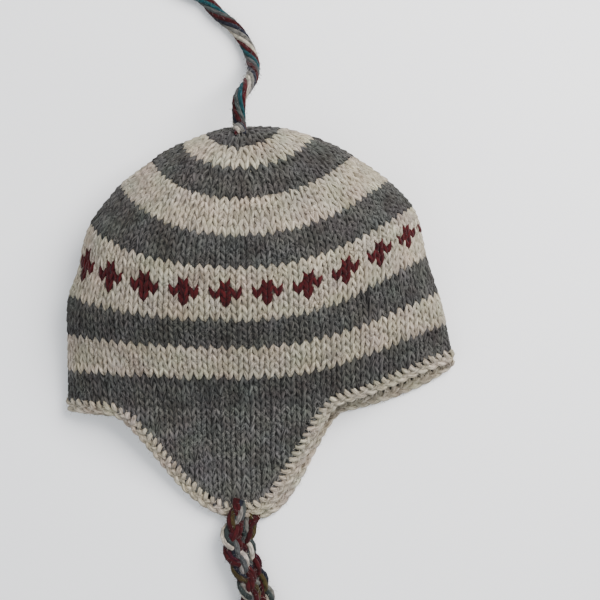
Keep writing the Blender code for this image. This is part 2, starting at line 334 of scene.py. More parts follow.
Section = namedtuple("Section", "row left_x left_y right_x right_y fold_z top_y top_z base_y base_z")
SECTIONS = [
    Section(0.00, 0.000, 0.000, 0.000, 0.000, 0.47, 0.000, 0.47, 0.000, 0.47),
    Section(0.06, -0.048, 0.004, 0.055, -0.007, 0.46, 0.032, 0.64, -0.014, 0.31),
    Section(0.13, -0.100, 0.026, 0.125, 0.003, 0.45, 0.093, 0.78, -0.022, 0.15),
    Section(0.21, -0.173, 0.065, 0.228, 0.051, 0.42, 0.177, 0.89, 0.028, 0.03),
    Section(0.31, -0.235, 0.121, 0.305, 0.111, 0.40, 0.267, 0.96, 0.119, 0.00),
    Section(0.45, -0.331, 0.230, 0.405, 0.216, 0.35, 0.413, 1.00, 0.268, 0.00),
    Section(0.55, -0.396, 0.360, 0.450, 0.296, 0.32, 0.503, 0.97, 0.380, 0.00),
    Section(0.63, -0.417, 0.484, 0.466, 0.372, 0.28, 0.587, 0.91, 0.484, 0.00),
    Section(0.71, -0.448, 0.603, 0.483, 0.470, 0.25, 0.679, 0.82, 0.593, 0.00),
    Section(0.81, -0.453, 0.749, 0.518, 0.606, 0.20, 0.777, 0.70, 0.732, 0.00),
    Section(0.90, -0.456, 0.867, 0.536, 0.702, 0.15, 0.882, 0.56, 0.870, 0.00),
    Section(1.00, -0.457, 0.976, 0.551, 0.802, 0.12, 1.001, 0.42, 1.016, 0.00),
]

# %% Reading along lines
def travel_of(line):
    """Return how far along a line each of its points is."""
    return np.concatenate([[0.0], np.cumsum(np.linalg.norm(np.diff(line, axis=0), axis=1))])


def read_at(wanted, places, line):
    """Return the points or directions of a line at the wanted places."""
    return np.column_stack([np.interp(wanted, places, line[:, axis]) for axis in range(3)])


def resample(line, shares):
    """Return the points at the wanted shares of a line's length."""
    length = travel_of(line)
    return read_at(np.asarray(shares) * length[-1], length, line)


def unit(vectors):
    """Return vectors with their length made one."""
    return vectors / np.linalg.norm(vectors, axis=-1, keepdims=True)


def curve_through(places, values, wanted):
    """Read a smooth curve, which passes through every value, at the wanted places."""
    places, values = np.asarray(places, float), np.asarray(values, float)
    wanted = np.clip(np.asarray(wanted, float), places[0], places[-1])
    slopes = np.gradient(values, places)
    index = np.clip(np.searchsorted(places, wanted, side="right") - 1, 0, len(places) - 2)
    span = places[index + 1] - places[index]
    t = (wanted - places[index]) / span
    start = values[index] * (2 * t**3 - 3 * t**2 + 1) + slopes[index] * span * (t**3 - 2 * t**2 + t)
    end = values[index + 1] * (3 * t**2 - 2 * t**3) + slopes[index + 1] * span * (t**3 - t**2)
    return start + end


# %% Surface of the knit
def section_at(row):
    """Return the knit's section at a share of its rows, in metres."""
    rows = [section.row for section in SECTIONS]
    share = Section(*(float(curve_through(rows, column, row)) for column in zip(*SECTIONS)))
    tip_x, tip_y = CROWN_TIP
    return Section(
        row,
        tip_x + share.left_x * HAT_WIDTH, tip_y - share.left_y * BODY_LENGTH,
        tip_x + share.right_x * HAT_WIDTH, tip_y - share.right_y * BODY_LENGTH,
        share.fold_z * LOFT,
        tip_y - share.top_y * BODY_LENGTH, share.top_z * LOFT,
        tip_y - share.base_y * BODY_LENGTH, max(share.base_z, 0.0) * LOFT,
    )


def reach_of(section, side):
    """Return how far a row reaches from the ridge line to its fold."""
    return section.right_x - CROWN_TIP[0] if side > 0 else CROWN_TIP[0] - section.left_x


def place_across(section, side, layer, across):
    """Return the outer surface's y and z at a distance from the ridge line, on one layer."""
    reach = reach_of(section, side)
    fold_y = section.right_y if side > 0 else section.left_y
    share = np.clip(across / reach, 0.0, 1.0)
    middle_y = section.top_y if layer == "top" else section.base_y
    gain = RIGHT_SAG_GAIN * section.row if side > 0 and layer == "top" else 0.0
    y = fold_y + (middle_y - fold_y) * (1 - share**SAG_POWER) ** (ROW_SAG + gain)
    if layer == "top":
        power = CROWN_ARCH + (BRIM_ARCH - CROWN_ARCH) * section.row
        arch = np.cos(np.arcsin(share**TOP_FULLNESS)) ** power
        return y, section.fold_z + (section.top_z - section.fold_z) * arch
    rise = section.fold_z - section.base_z
    bend = min(reach, FOLD_ROUND * rise)
    into_bend = np.clip((across - (reach - bend)) / bend, 0.0, 1.0)
    return y, section.fold_z - rise * np.sqrt(1 - into_bend**2)


def quarter(section, side, layer, count):
    """Return evenly spaced points of one row, from the ridge line to the fold."""
    across = reach_of(section, side) * np.sin(np.linspace(0.0, math.pi / 2, QUARTER_POINTS))
    y, z = place_across(section, side, layer, across)
    line = np.column_stack([CROWN_TIP[0] + side * across, y, z])
    return resample(line, np.linspace(0.0, 1.0, count + 1))


def ring_at(row, right, left):
    """Return one row: over the top from the right fold, then back below, with its end repeated."""
    section = section_at(row)
    return np.vstack([
        quarter(section, 1, "top", right)[::-1][:-1], quarter(section, -1, "top", left)[:-1],
        quarter(section, -1, "base", left)[::-1][:-1], quarter(section, 1, "base", right),
    ])


# %% Surface of the ear flaps
JUST_ABOVE_BRIM = 0.95
LEAST_FALL = 0.001


def flap_middle(layer):
    """Return the x of a flap's middle."""
    return CROWN_TIP[0] + (0.0 if layer == "top" else FLAP_SHIFT)


def flap_drop(x, layer):
    """Return how far the flap's knit hangs below the brim at x."""
    offset = x - flap_middle(layer)
    width = np.where(offset < 0, FLAP_LEFT, FLAP_RIGHT)
    share = np.clip(np.abs(offset) / width, 0.0, 1.0)
    return FLAP_DROP * 0.5 * (1 + np.cos(math.pi * share**FLAP_POWER))


BRIM, ABOVE_BRIM = section_at(1.0), section_at(JUST_ABOVE_BRIM)


def below_brim(x, drop, layer):
    """Return the point of the outer surface that lies a distance below the brim, at x on the brim."""
    side = 1 if x >= CROWN_TIP[0] else -1
    across = abs(x - CROWN_TIP[0])
    y, z = place_across(BRIM, side, layer, across)
    share = drop / FLAP_DROP
    if layer == "base":
        return np.array([x + FLAP_SHIFT * share**2, y - drop, z])
    y_above, z_above = place_across(ABOVE_BRIM, side, layer, across)
    slope = (z - z_above) / max(y_above - y, LEAST_FALL) * FLAP_DROP
    rest = 2 * EDGING_DEPTH + 2 * CLEARANCE
    share = min(share, 1.0)
    height = z * (2 * share**3 - 3 * share**2 + 1) + rest * (3 * share**2 - 2 * share**3)
    height += slope * (share**3 - 2 * share**2 + share)
    return np.array([x, y - drop, max(height, rest)])


# %% [markdown]
# ## A guide for the yarns
# The yarns need a map of the surface: across it the stitches are counted, and down it the rows. So the
# guide is a fine mesh with a UV map, where U runs once round the hat from its right fold and V counts rows
# from the crown. Below the brim it carries on over the flaps. It is a helper, and isn't kept.

# %% Guide surface
# SIDE_RISE is in rows, and RISE_FROM in the guide's lines, of which each row has LINES_PER_ROW.
BODY_ROWS = 42
STITCHES_ROUND = 84
FLAP_ROW = 0.0053
GUIDE_ROWS = 60
LINES_PER_ROW = 2
RIGHT_COLUMNS, LEFT_COLUMNS = 40, 35
SIDE_RISE = 0.95
RISE_FROM = 24
HOLD_BRIM = 6
FIRST_ROW = 0.02


def raise_sides(grid):
    """Draw the rows up near the folds, and leave the crown's tip and the brim in place."""
    body = BODY_ROWS * LINES_PER_ROW
    lines = np.arange(len(grid))
    away = np.abs(grid[body // 2, :, 0] - CROWN_TIP[0])
    held = np.clip(lines / RISE_FROM, 0.0, 1.0) * (1 - np.clip(lines / body, 0.0, 1.0) ** HOLD_BRIM)
    for column, share in enumerate(away / away.max()):
        wanted = lines - SIDE_RISE * LINES_PER_ROW * share**2 * held
        grid[:, column] = read_at(wanted, lines, grid[:, column])


def guide_points():
    """Return the guide's points as a grid of rows and columns, and the outward direction at each."""
    brim = ring_at(1.0, RIGHT_COLUMNS, LEFT_COLUMNS)
    half = RIGHT_COLUMNS + LEFT_COLUMNS
    grid = []
    for line in range(GUIDE_ROWS * LINES_PER_ROW + 1):
        row = max(line / LINES_PER_ROW, FIRST_ROW)
        if row <= BODY_ROWS:
            grid.append(ring_at(row / BODY_ROWS, RIGHT_COLUMNS, LEFT_COLUMNS))
            continue
        drop = (row - BODY_ROWS) * FLAP_ROW
        grid.append([below_brim(p[0], drop, "top" if i <= half else "base") for i, p in enumerate(brim)])
    grid = np.array(grid)
    raise_sides(grid)
    outward = np.cross(np.gradient(grid, axis=1), np.gradient(grid, axis=0))
    outward[0] = outward[1]
    return grid, unit(outward)


def build_guide(grid, outward):
    """Make the guide mesh."""
    rows, columns = grid.shape[:2]
    index = np.arange(rows * columns).reshape(rows, columns)
    faces = np.stack([index[:-1, :-1], index[1:, :-1], index[1:, 1:], index[:-1, 1:]], axis=-1)
    mesh = bpy.data.meshes.new("guide")
    mesh.from_pydata(grid.reshape(-1, 3).tolist(), [], faces.reshape(-1, 4).tolist())
    u, v = np.meshgrid(np.linspace(0, 1, columns), np.linspace(0, 1, rows))
    flat = np.column_stack([u.ravel(), v.ravel()])
    corners = np.empty(len(mesh.loops), int)
    mesh.loops.foreach_get("vertex_index", corners)
    mesh.uv_layers.new(name="knit").data.foreach_set("uv", flat[corners].ravel())
    carry(mesh, "outward", outward.reshape(-1, 3))
    return add_object("guide", mesh)


guide_grid, guide_outward = guide_points()
guide = build_guide(guide_grid, guide_outward)
print("guide:", guide_grid.shape[0], "rows of", guide_grid.shape[1], "points")


# %% [markdown]
# ## Wool
# Handspun wool isn't one colour. Its fibres run along the yarn in lighter and darker flecks, the yarn is
# two plies twisted together, and the tone drifts from stitch to stitch. The colour is mixed along the yarn
# from noise that is stretched in its direction. The twist is a bump that winds round the yarn. Both follow
# numbers that the yarn carries: how far along it is, and which way round its section faces.

# %% Wool colours
Wool = namedtuple("Wool", "deep light tint")
WOOLS = {
    "cream": Wool((0.115, 0.096, 0.070), (0.40, 0.356, 0.280), (0.26, 0.228, 0.162)),
    "grey": Wool((0.003, 0.003, 0.003), (0.088, 0.086, 0.079), (0.016, 0.011, 0.010)),
    "pale grey": Wool((0.005, 0.005, 0.005), (0.135, 0.132, 0.122), (0.026, 0.021, 0.018)),
    "maroon": Wool((0.012, 0.001, 0.002), (0.056, 0.004, 0.005), (0.036, 0.003, 0.004)),
}
# Scales count the noise's patches in a metre, flecks its steps along a metre of yarn and across its section.
TINT_SHARE = 0.45
FLECKS_ALONG, FLECKS_ROUND = 260, 1.6
FLECK_SHIFT = 37
FLECK_LOW, FLECK_HIGH = 0.36, 0.66
TINT_SCALE, TINT_LOW, TINT_HIGH = 70.0, 0.45, 0.70
HUE_SCALE, HUE_SHARE = 55.0, 0.13
DYE_DEEPEST, DYE_RANGE = 0.45, 0.95
YARN_DARKEST, YARN_RANGE = 0.78, 0.44
# The twist is in radians for each metre of yarn.
PLIES, PLY_TURNS = 2, 1500
PLY_RELIEF, FLECK_RELIEF = 0.5, 1.4


# %% Steps of a material
class MaterialBench(Bench):
    """Builds the node tree of one new material."""

    def __init__(self, name):
        self.material = bpy.data.materials.new(name)
        self.material.use_nodes = True
        super().__init__(self.material.node_tree)

    def where(self):
        """Return the place on the object."""
        return self.node("ShaderNodeTexCoord").other("Object")

    def carried(self, name, output="Fac"):
        """Read a number, or another output, that the yarn carries."""
        return self.node("ShaderNodeAttribute", attribute_name=name).other(output)

    def grey(self, value):
        """Turn a number into a grey."""
        return self.node("ShaderNodeCombineColor", {0: value, 1: value, 2: value})

    def ramp(self, factor, low, high):
        """Stretch a factor, so that it is black up to low and white from high on."""
        wire = self.node("ShaderNodeValToRGB", {0: factor})
        first, last = wire.socket.node.color_ramp.elements
        first.position, last.position = low, high
        return wire

    def blend(self, factor, first, second, how="MIX"):
        """Mix two colours, each a wire or three numbers."""
        first, second = (c if isinstance(c, Wire) else (*c, 1.0) for c in (first, second))
        values = {0: factor, 6: first, 7: second}
        return self.node("ShaderNodeMix", values, data_type="RGBA", blend_type=how)

    def bump(self, height, strength, distance):
        return self.node("ShaderNodeBump", {"Height": height, "Strength": strength, "Distance": distance})

    def finish(self, values):
        """Fill the shader's inputs and return the material."""
        self.fill(self.tree.nodes["Principled BSDF"], values)
        return self.material


# %% Wool materials
def heathered(bench, wool, flecks):
    """Colour one wool: fibres from deep to light, with patches of its tint."""
    patches = bench.ramp(bench.noise(bench.where(), TINT_SCALE, 2.0), TINT_LOW, TINT_HIGH)
    fibres = bench.blend(flecks, wool.deep, wool.light)
    return bench.blend(patches * TINT_SHARE, fibres, wool.tint)


def wool_material(name, main=None, second=None):
    """Make a wool finish. second colours stitches whose tone is 1. Without main, yarns show their own dye."""
    bench = MaterialBench(name)
    travel, drift = bench.carried("travel"), bench.carried("shade")
    across, up, _ = bench.split(bench.carried("section", "Vector"))
    place = bench.xyz(travel * FLECKS_ALONG + drift * FLECK_SHIFT, across * FLECKS_ROUND, up * FLECKS_ROUND)
    fibre = bench.noise(place, 1.0, 3.0, 0.65)
    flecks = bench.ramp(fibre, FLECK_LOW, FLECK_HIGH)
    if main:
        colour = heathered(bench, main, flecks)
    else:
        fade = bench.grey(DYE_DEEPEST + flecks * DYE_RANGE)
        colour = bench.blend(1.0, bench.carried("dye", "Color"), fade, "MULTIPLY")
    if second:
        colour = bench.blend(bench.carried("tone"), colour, heathered(bench, second, flecks))
    hue = bench.noise(bench.where(), HUE_SCALE, 3.0).other("Color")
    colour = bench.blend(HUE_SHARE, colour, hue, "OVERLAY")
    colour = bench.blend(1.0, colour, bench.grey(YARN_DARKEST + drift * YARN_RANGE), "MULTIPLY")
    twist = (across.math("ARCTAN2", up, across) * PLIES + travel * PLY_TURNS).sine()
    return bench.finish({
        "Base Color": colour, "Normal": bench.bump(twist * PLY_RELIEF + fibre * FLECK_RELIEF, 0.75, 0.0005),
        "Roughness": 0.92, "Sheen Weight": 0.05, "Sheen Roughness": 0.5, "Specular IOR Level": 0.15,
    })


CREAM_WOOL = wool_material("cream wool", WOOLS["cream"])
GREY_WOOL = wool_material("grey wool", WOOLS["grey"])
FLAP_WOOL = wool_material("pale grey wool", WOOLS["pale grey"])
BAND_WOOL = wool_material("cream wool with maroon", WOOLS["cream"], WOOLS["maroon"])
DYED_WOOL = wool_material("dyed wool")
print("wools:", [m.name for m in (CREAM_WOOL, GREY_WOOL, FLAP_WOOL, BAND_WOOL, DYED_WOOL)])

# %% [markdown]
# ## Knitted rows
# In plain knitting each row is one yarn. For every stitch it climbs, makes a loop behind the stitch above,
# and comes down again, so the front shows two slanting legs, a V. A short formula draws that path over one
# stitch, and the tree repeats it along a row and lays it on the guide. Modelling one V and copying it would
# be simpler, but its ends would hang loose inside the hat, where this lets you see the back of the knit.

# %% The knitting tree
WOBBLE_ACROSS, WOBBLE_ALONG, WOBBLE_OUT = 3, 5, 0.008
WOBBLE_SCALE = 0.55
HIGHEST_LOOP = 0.04
YARN_THINNEST, YARN_SWELL = 0.88, 0.24
LOOP_PINCH, DIAMOND_SWELL = 0.18, 0.16


def knitting_tree():
    """Build the tree that turns counted rows into looped yarns on the guide.

    Loop Height is in rows and Loop Swing in stitches. Yarn Radius, Leg Lift and Depth are in metres.
    """
    bench, given = geometry_tree("knitting", {
        "Guide": "Object", "Wool": "Material", "Points per Stitch": 8, "Sides": 6, "Yarn Radius": 0.00152,
        "Loop Height": 0.92, "Loop Swing": 0.265, "Leg Lift": 0.0011, "Depth": 0.0020, "Wobble": 0.16,
        "Seed": 0.0,
    })
    yarns = bench.node("GeometryNodeMeshToCurve", {"Mesh": given["Lines"]})
    yarns = bench.node("GeometryNodeSubdivideCurve", {"Curve": yarns, "Cuts": given["Points per Stitch"]})
    around, stitch, row = bench.named("around"), bench.named("stitch"), bench.named("row")
    whole = stitch.math("FLOOR", stitch)
    turn = (stitch - whole - 0.5) * (2 * math.pi)
    place = bench.xyz(around * STITCHES_ROUND, row, given["Seed"])
    noise = bench.noise(place, WOBBLE_SCALE, 2.0).other("Color")
    wobble_x, wobble_y, wobble_z = bench.split(noise)
    u = around + bench.named("width") * (
        (turn * 2).sine() * given["Loop Swing"] + (wobble_x - 0.5) * given["Wobble"] * WOBBLE_ACROSS
    )
    v = row + 0.5 - turn.cosine() * given["Loop Height"] + (wobble_y - 0.5) * given["Wobble"] * WOBBLE_ALONG
    spot = bench.xyz(u.math("FRACT", u), v.math("MAXIMUM", v, HIGHEST_LOOP) / float(GUIDE_ROWS), 0.0)
    surface = bench.node("GeometryNodeObjectInfo", {"Object": given["Guide"]}, transform_space="ORIGINAL")
    map_of = bench.named("knit", VECTOR)

    def on_guide(value):
        return bench.node("GeometryNodeSampleUVSurface", {
            "Mesh": surface.other("Geometry"), "Value": value, "UV Map": map_of, "Sample UV": spot,
        }, data_type=VECTOR)

    lift = (wobble_z - 0.5) * given["Wobble"] * WOBBLE_OUT - given["Depth"]
    lift = lift - (turn * 2).cosine() * given["Leg Lift"]
    outward = on_guide(bench.named("outward", VECTOR))
    point = bench.added(on_guide(bench.here()), bench.scaled(outward, lift))
    tone = bench.node("GeometryNodeSampleIndex", {
        "Geometry": given["Lines"], "Value": bench.named("tone"), "Index": bench.named("first") + whole,
    }, data_type="FLOAT", domain="POINT")
    radius = given["Yarn Radius"] * (YARN_THINNEST + wobble_y * YARN_SWELL)
    radius = radius * (1 - turn.cosine() * turn.cosine() * LOOP_PINCH) * (1 + tone * DIAMOND_SWELL)
    yarns = bench.store(yarns, "thickness", radius)
    yarns = bench.move(yarns, point, lowest=radius)
    yarns = bench.store(yarns, "tone", tone)
    return bench.end(bench.tube(yarns, given["Sides"], bench.named("thickness")), given["Wool"])


KNITTING = knitting_tree()

# %% [markdown]
# The stripes are knit from the crown down here: each entry of the table has its last row and its wool. One
# cream band carries a line of small maroon diamonds, one, three and one stitches wide, repeated every four
# stitches. From the middle up, seven wedges of the crown lose stitches row by row.

# %% Stripes and diamonds
WEDGES = 7
DECREASE_ROW = 17
WEDGE_STITCH = 0.0062
Stripe = namedtuple("Stripe", "name first last wool")
STRIPES = [
    Stripe("knit_crown_grey", 0, 5, GREY_WOOL), Stripe("knit_crown_cream", 5, 8, CREAM_WOOL),
    Stripe("knit_upper_grey", 8, 13, GREY_WOOL), Stripe("knit_upper_cream", 13, 18, CREAM_WOOL),
    Stripe("knit_middle_grey", 18, 23, GREY_WOOL), Stripe("knit_diamond_band", 23, 30, BAND_WOOL),
    Stripe("knit_lower_grey", 30, 34, GREY_WOOL), Stripe("knit_lower_cream", 34, 38, CREAM_WOOL),
    Stripe("knit_brim_grey", 38, 42, GREY_WOOL),
]
DIAMOND = {25: (3,), 26: (2, 3, 0), 27: (3,)}
DIAMOND_REPEAT = 4
STITCH_YARN = 0.016
LINE_STEP = 0.01
ROUNDING = 0.001


def stitches_of(row):
    """Return the places round the hat, from 0 to 1, where one row's stitches begin and end."""
    if row >= DECREASE_ROW:
        return np.linspace(0.0, 1.0, STITCHES_ROUND + 1)
    line = guide_grid[int((row + 0.5) * LINES_PER_ROW)]
    length = np.linalg.norm(np.diff(line, axis=0), axis=1).sum()
    in_wedge = int(np.clip(round(length / (WEDGES * WEDGE_STITCH)), 1, STITCHES_ROUND // WEDGES))
    return np.linspace(0.0, 1.0, WEDGES * in_wedge + 1)


def row_lines(name, rows, dice):
    """Count the stitches of rows, each given by its number and its stitches' places round the hat."""
    lines = []
    numbers = {key: [] for key in ("stitch", "around", "width", "row", "first", "tone", "shade", "travel")}
    for row, places in rows:
        count = len(places)
        width = places[2] - places[1] if count > 2 else 1 / STITCHES_ROUND
        stitches = places / width
        first = sum(len(line) for line in lines) - math.floor(stitches[0] + ROUNDING)
        lines.append([(LINE_STEP * k, LINE_STEP * row, 0.0) for k in range(count)])
        columns = np.round(places * STITCHES_ROUND).astype(int) % DIAMOND_REPEAT
        numbers["stitch"].extend(stitches)
        numbers["around"].extend(places)
        for label, value in (("width", width), ("row", row), ("first", first)):
            numbers[label].extend([value] * count)
        numbers["tone"].extend(float(column in DIAMOND.get(row, ())) for column in columns)
        numbers["shade"].extend(dice.random(count))
        numbers["travel"].extend(STITCH_YARN * np.arange(count) + dice.random())
    return line_mesh(name, lines, numbers)


def knit(name, rows, wool, seed, replaced):
    """Knit rows into one piece that stands for a node of the plain model."""
    lines = row_lines(name + "_rows", rows, np.random.default_rng(seed))
    piece = run_tree(name, lines, KNITTING, {"Guide": guide, "Wool": wool, "Seed": float(seed)})
    rest_on_hat(piece, replaced)


for seed, stripe in enumerate(STRIPES):
    rows = [(row, stitches_of(row)) for row in range(stripe.first, stripe.last)]
    knit(stripe.name, rows, stripe.wool, seed, "crown")

# %% [markdown]
# ## Ear flaps
# Each flap carries the grey columns on below the brim. A row is only as wide as the flap is at that height,
# so the flap narrows to its round tip, and the edging covers the ends of the rows.

# %% Ear flap knit
FINE_PLACES = 2001
ROW_HOLD = 0.35


def flap_rows(layer):
    """Return the flap's rows, each with the places round the hat where its stitches begin and end."""
    brim = guide_grid[BODY_ROWS * LINES_PER_ROW]
    fine = np.linspace(0.0, 0.5, FINE_PLACES) + (0.0 if layer == "top" else 0.5)
    xs = np.interp(fine, np.linspace(0.0, 1.0, len(brim)), brim[:, 0])
    rows = []
    for step in range(int(FLAP_DROP / FLAP_ROW) + 1):
        inside = fine[flap_drop(xs, layer) > (step + ROW_HOLD) * FLAP_ROW]
        if len(inside) < 2:
            break
        first, last = math.ceil(inside[0] * STITCHES_ROUND), math.floor(inside[-1] * STITCHES_ROUND)
        whole = np.arange(first, last + 1)
        places = np.concatenate([inside[:1], whole / STITCHES_ROUND, inside[-1:]])
        if len(whole) > 2:
            rows.append((BODY_ROWS + step, np.unique(places)))
    return rows


knit("knit_flap_upper", flap_rows("top"), FLAP_WOOL, 21, "ear_flap_upper")
knit("knit_flap_lower", flap_rows("base"), FLAP_WOOL, 22, "ear_flap_lower")

# %% [markdown]
# ## Strands
# A braid, a twisted cord and a crocheted chain are the same thing to a computer: a few yarns that swing
# from side to side, and over and under each other, while they follow one path. So one tree lays them all.
# Each yarn starts as a copy of the path and has its own place in the swing. Modelling every crossing by
# hand would give the same look, but not one that follows the path when it bends.

# %% The strand tree
def strand_tree():
    """Build the tree that swings yarns about their path.

    Lead is the part of a turn by which the swing up and down runs ahead of the swing sideways.
    """
    bench, given = geometry_tree("strands", {
        "Wool": "Material", "Half Width": 0.003, "Half Height": 0.003, "Pitch": 0.03, "Waves": 1.0,
        "Lead": 0.25, "Ply Offset": 0.0, "Ply Pitch": 0.02, "Yarn Radius": 0.0016, "Sides": 7,
    })
    yarns = bench.node("GeometryNodeMeshToCurve", {"Mesh": given["Lines"]})
    travel, spread = bench.named("travel"), bench.named("spread")
    swing = (travel / given["Pitch"] + bench.named("strand")) * (2 * math.pi)
    ply = (travel / given["Ply Pitch"] + bench.named("ply")) * (2 * math.pi)
    over = (swing * given["Waves"] + given["Lead"] * (2 * math.pi)).sine()
    side = spread * (swing.sine() * given["Half Width"] + ply.cosine() * given["Ply Offset"])
    rise = spread * (over * given["Half Height"] + ply.sine() * given["Ply Offset"])
    place = bench.added(bench.here(), bench.scaled(bench.named("side", VECTOR), side))
    place = bench.added(place, bench.scaled(bench.named("up", VECTOR), rise))
    radius = given["Yarn Radius"] * bench.named("thickness")
    yarns = bench.move(yarns, place, lowest=radius)
    return bench.end(bench.tube(yarns, given["Sides"], radius), given["Wool"])


STRANDS = strand_tree()

# %% Yarns along a path
Yarn = namedtuple("Yarn", "strand ply dye")
THINNEST_YARN, THICKEST_YARN = 0.93, 1.05
DYES = {
    "cream": (0.27, 0.242, 0.198), "maroon": (0.032, 0.003, 0.004), "wine": (0.026, 0.003, 0.007),
    "slate": (0.050, 0.054, 0.052), "teal": (0.020, 0.026, 0.025), "navy": (0.008, 0.009, 0.015),
    "olive": (0.034, 0.024, 0.008), "grey": (0.105, 0.100, 0.090), "blue": (0.005, 0.034, 0.041),
}


def frames_along(line):
    """Return a sideways and an upward direction at each point of a line that lies about level."""
    along = unit(np.gradient(line, axis=0))
    side = unit(np.cross(along, (0.0, 0.0, 1.0)))
    return side, np.cross(side, along)


def lay_strands(name, line, yarns, sizes, seed, side=None, up=None, spread=1.0, thickness=1.0, wool=None):
    """Lay yarns along a line with the strand tree, and return the piece."""
    if side is None:
        side, up = frames_along(line)
    dice = np.random.default_rng(seed)
    count = len(line)
    ones = np.ones(count)
    thicknesses = [ones * thickness * dice.uniform(THINNEST_YARN, THICKEST_YARN) for _ in yarns]
    numbers = {
        "travel": np.tile(travel_of(line), len(yarns)),
        "spread": np.tile(ones * spread, len(yarns)),
        "thickness": np.concatenate(thicknesses),
        "side": np.tile(side, (len(yarns), 1)),
        "up": np.tile(up, (len(yarns), 1)),
        "strand": np.repeat([yarn.strand for yarn in yarns], count),
        "ply": np.repeat([yarn.ply for yarn in yarns], count),
        "shade": np.concatenate([ones * dice.random() for _ in yarns]),
        "dye": np.repeat([(*DYES[yarn.dye], 1.0) for yarn in yarns], count, axis=0),
    }
    lines = line_mesh(name + "_lines", [line] * len(yarns), numbers)
    return run_tree(name, lines, STRANDS, {"Wool": wool or DYED_WOOL, **sizes})


# %% [markdown]
# ## The cord at the crown
# At the crown's tip a cord of seven coloured yarns comes out of the knit. The yarns lie nearly side by side
# there and twist round each other further up. It is a helix: the swing sideways and the swing up and down
# are a quarter turn apart. Its route was chosen in the plain model and is repeated here.

# %% Cord and tie routes
TOP_CORD_DIAMETER = 0.0095
TIE_DIAMETER = 0.011
TUFT_LENGTH = 0.034
UPPER_TIE_SIDE, LOWER_TIE_SIDE = -0.004, 0.0006
CORD_POINTS, ROUTE_POINTS = 36, 600
TOP_CORD_ROUTE = [
    (0.0000, 0.0000, 0.0400), (-0.0006, 0.0090, 0.0432), (0.0000, 0.0182, 0.0455),
    (0.0050, 0.0285, 0.0365), (0.0080, 0.0395, 0.0205), (0.0070, 0.0515, 0.0085),
    (0.0018, 0.0641, 0.0051), (-0.0060, 0.0746, 0.0050), (-0.0165, 0.0832, 0.0050),
    (-0.0267, 0.0941, 0.0055), (-0.0355, 0.0990, 0.0066), (-0.0440, 0.1035, 0.0067),
]
UPPER_TIE_ROUTE = [
    (0.0000, 0.0000, 0.0125), (-0.0036, -0.0130, 0.0142), (-0.0008, -0.0235, 0.0148),
    (0.0042, -0.0340, 0.0148), (0.0090, -0.0480, 0.0148), (0.0103, -0.0570, 0.0140),
    (0.0085, -0.0680, 0.0105), (0.0060, -0.0780, 0.0080), (0.0035, -0.0880, 0.0077),
    (0.0010, -0.0980, 0.0077),
]
LOWER_TIE_ROUTE = [
    (0.0000, 0.0000, 0.0057), (-0.0046, -0.0120, 0.0057), (-0.0022, -0.0220, 0.0057),
    (0.0020, -0.0330, 0.0057), (0.0072, -0.0460, 0.0057), (0.0110, -0.0560, 0.0060),
    (0.0155, -0.0660, 0.0072), (0.0200, -0.0760, 0.0077), (0.0240, -0.0860, 0.0077),
    (0.0280, -0.0960, 0.0077),
]


def smooth_route(route, start):
    """Return evenly spaced points on a smooth curve through a route that is measured from its start."""
    route = np.array(route) + (start[0], start[1], 0.0)
    reach = travel_of(route)
    dense = np.linspace(0.0, reach[-1], ROUTE_POINTS)
    line = np.column_stack([curve_through(reach, route[:, axis], dense) for axis in range(3)])
    return resample(line, np.linspace(0.0, 1.0, CORD_POINTS + 1))


def finish_cord(piece, end, node):
    """Let a cord and its knotted end ride on the hat in place of the plain model's cord and its end."""
    rest_on_hat(piece, node)
    rest_on_hat(end, node + "_end")


# %% [markdown]
# Each cord ends just past the photograph's edge in a knot with a short tuft. The knot is one yarn bundle
# that runs through an overhand knot, drawn tight. The tuft is the yarns' own ends, which fan out and wave.

# %% Knots and tufts
UP = np.array([0.0, 0.0, 1.0])
KNOT_POINTS, TUFT_POINTS, TUFT_YARNS = 49, 12, 18
# The knot's size is a share of the cord's diameter, and the rings are shares of its radius. The places of
# the knot and the tuft, and the shortest and longest yarn, are shares of TUFT_LENGTH.
KNOT_LENGTH, KNOT_BREADTH, KNOT_SIZE = 1.05, 0.95, 0.46
KNOT_AT, TUFT_AT = 0.20, 0.36
TUFT_SHORTEST, TUFT_LONGEST = 0.50, 0.60
TUFT_SCATTER, TUFT_TAPER, TUFT_SAG = 0.2, 0.25, 0.0010
INNER_RING, OUTER_RING = 0.35, 0.72
FAN = 0.75
WAVE, WAVE_TURNS, WAVE_SCATTER = 0.0008, 9, 6
STRAIGHT = {"Half Width": 0.0, "Half Height": 0.0}


def knot_line(centre, forward, side, size):
    """Return the closed line of a tight overhand knot."""
    t = np.linspace(0.0, 2 * math.pi, KNOT_POINTS)
    x, y = np.sin(t) + 2 * np.sin(2 * t), np.cos(t) - 2 * np.cos(2 * t)
    round_it = np.column_stack([x, y, -np.sin(3 * t)]) / 3.0
    return centre + size * round_it @ np.array([forward * KNOT_LENGTH, side * KNOT_BREADTH, UP])


def tuft_yarn(start, forward, side, angle, ring, dice):
    """Return one yarn's end, which fans out and waves, and its thickness."""
    length = TUFT_LENGTH * dice.uniform(TUFT_SHORTEST, TUFT_LONGEST)
    t = np.linspace(0.0, 1.0, TUFT_POINTS)[:, None]
    fan = ring * (FAN + FAN * t) + WAVE * np.sin(t * WAVE_TURNS + dice.uniform(0, WAVE_SCATTER))
    yarn = start + forward * (TUFT_LENGTH * TUFT_AT + length * t)
    yarn = yarn + fan * (side * math.cos(angle) + UP * math.sin(angle))
    yarn[:, 2] -= TUFT_SAG * t[:, 0]
    return yarn, 1.0 - TUFT_TAPER * t[:, 0]


